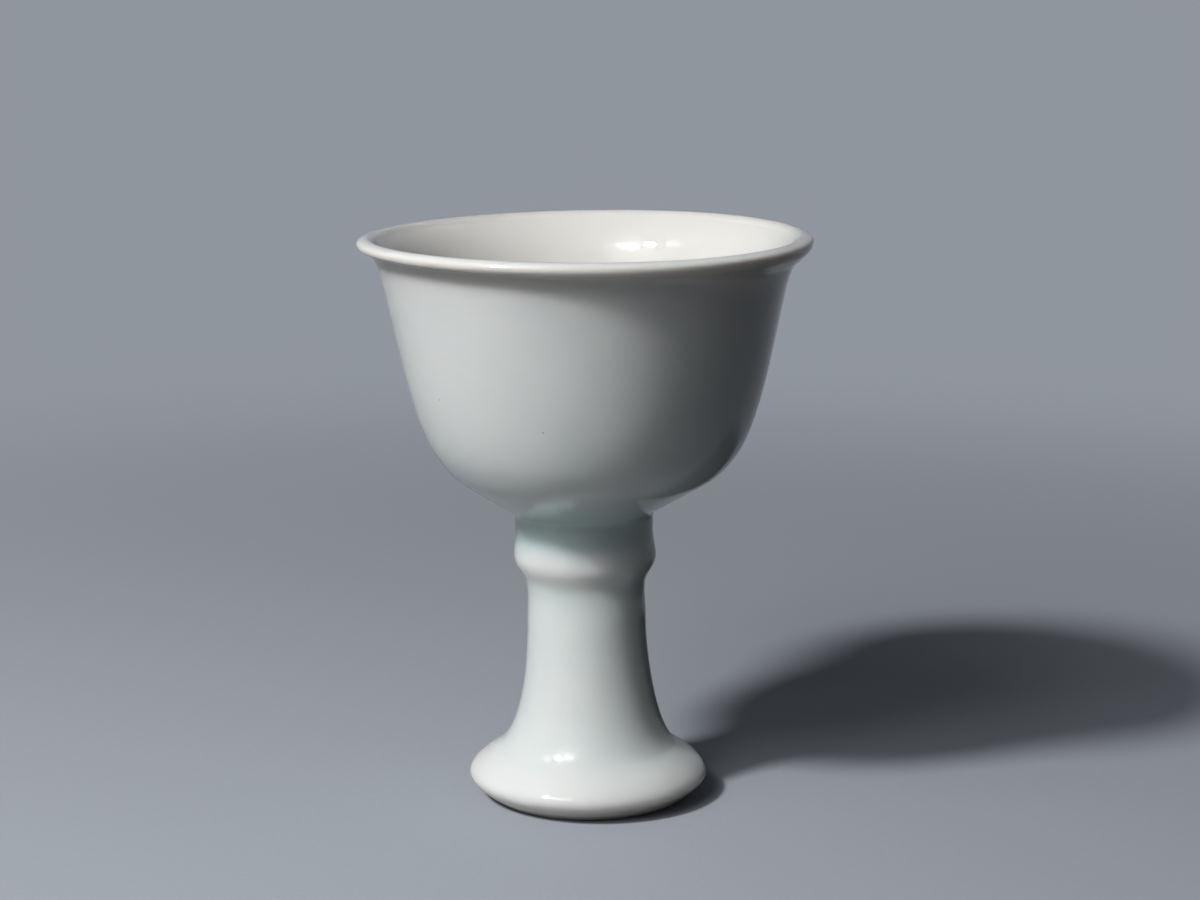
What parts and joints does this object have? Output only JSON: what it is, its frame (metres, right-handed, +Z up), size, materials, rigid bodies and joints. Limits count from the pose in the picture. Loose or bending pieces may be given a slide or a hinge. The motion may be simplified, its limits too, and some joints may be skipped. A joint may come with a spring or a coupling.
{
  "type": "stem cup",
  "caption": "Glazed porcelain stem cup: bell-shaped bowl with a turned-out lip, luted onto a hollow waisted stem with a beaded collar and a cushion foot.",
  "frame": {"origin": "centre of the foot ring, on the surface that the cup stands on", "axes": "+Z up the cup's axis, towards the mouth; the picture looks along +Y, with +X to its right"},
  "size_m": [0.072, 0.072, 0.0915],
  "materials": {
    "bare_porcelain": "fired and unglazed, fine matt",
    "luting_slip": "fired slip, matt",
    "liner_glaze": "glossy, near white",
    "outer_glaze": "glossy, bluish white, greener where it is thick"
  },
  "bodies": {
    "root": {"stem": "bare_porcelain", "collar_ring": "bare_porcelain", "luting_slip": "luting_slip", "bowl": "bare_porcelain", "liner_glaze": "liner_glaze", "outer_glaze": "outer_glaze"}
  },
  "joints": []
}
